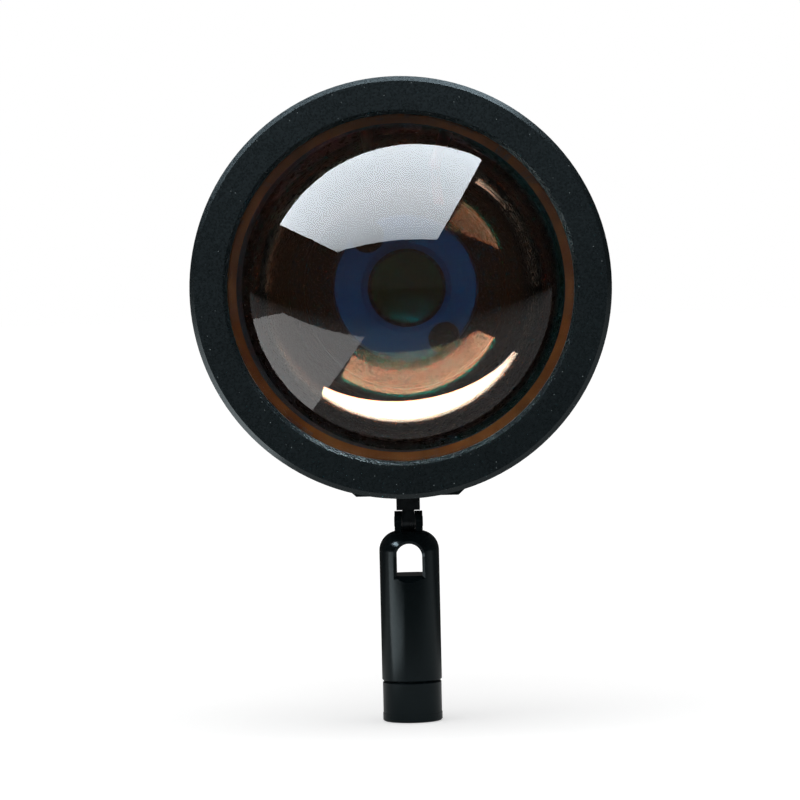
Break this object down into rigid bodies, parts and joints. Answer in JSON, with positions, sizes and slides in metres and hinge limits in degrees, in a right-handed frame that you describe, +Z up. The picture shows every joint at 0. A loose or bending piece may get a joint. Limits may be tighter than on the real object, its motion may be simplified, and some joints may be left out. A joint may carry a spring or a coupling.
{
  "type": "projection lamp",
  "caption": "Round projection lamp head with a thick condenser lens and rear heat sink, on a short stem that turns and tilts over a threaded socket.",
  "frame": {"origin": "mouth of the threaded socket, at the centre of the stem's flat bottom", "axes": "+Z up along the stem, -Y the way the lens looks, +X to the right seen from in front"},
  "size_m": [0.1, 0.1233, 0.1585],
  "materials": {
    "black_anodised": "satin",
    "black_steel": "satin",
    "plain_steel": "satin",
    "black_plastic": "matte",
    "black_rubber": "matte",
    "lens_glass": "polished",
    "coated_glass": "polished",
    "thermal_pad": "matte",
    "led_board": "satin",
    "phosphor": "satin",
    "washer_plastic": "matte",
    "brass": "satin",
    "wire_red": "satin",
    "wire_black": "satin",
    "insulator": "matte",
    "driver_board": "satin",
    "ferrite": "matte",
    "capacitor_can": "satin"
  },
  "bodies": {
    "base": {"swivel_collar": "black_anodised", "thread_bush": "brass", "swivel_ring": "black_rubber"},
    "stem": {"stem_sleeve": "black_anodised", "pan_screw": "black_steel", "pivot_pin": "black_steel", "friction_washers": "washer_plastic"},
    "head": {"neck_lug": "black_steel", "neck_nut": "plain_steel", "mount_saddle": "black_anodised", "saddle_screws": "plain_steel", "front_bezel": "black_anodised", "lens_gasket": "black_rubber", "projection_lens": "lens_glass", "color_filter": "coated_glass", "filter_ring": "black_anodised", "baffle_cone": "black_plastic", "housing_barrel": "black_anodised", "heat_sink": "black_anodised", "heat_sink_screws": "plain_steel", "thermal_pad": "thermal_pad", "led_board": "led_board", "led_emitter": "phosphor", "led_holder": "black_plastic", "led_screws": "black_steel", "led_wire_red": "wire_red", "led_wire_black": "wire_black", "insulator_disc": "insulator", "driver_board": "driver_board", "driver_choke": "ferrite", "driver_capacitor": "capacitor_can", "driver_chip": "black_plastic", "driver_screws": "plain_steel", "power_jack": "black_plastic", "jack_pin": "plain_steel", "rear_cover": "black_plastic", "rear_cover_screws": "black_steel"}
  },
  "joints": [
    {"name": "pan", "type": "hinge", "parent": "base", "child": "stem", "pos_m": [0, 0, 0.021], "axis": [0, 0, 1], "range_deg": [-160, 160]},
    {"name": "tilt", "type": "hinge", "parent": "stem", "child": "head", "pos_m": [0, 0, 0.04995], "axis": [1, 0, 0], "range_deg": [-80, 80]}
  ]
}
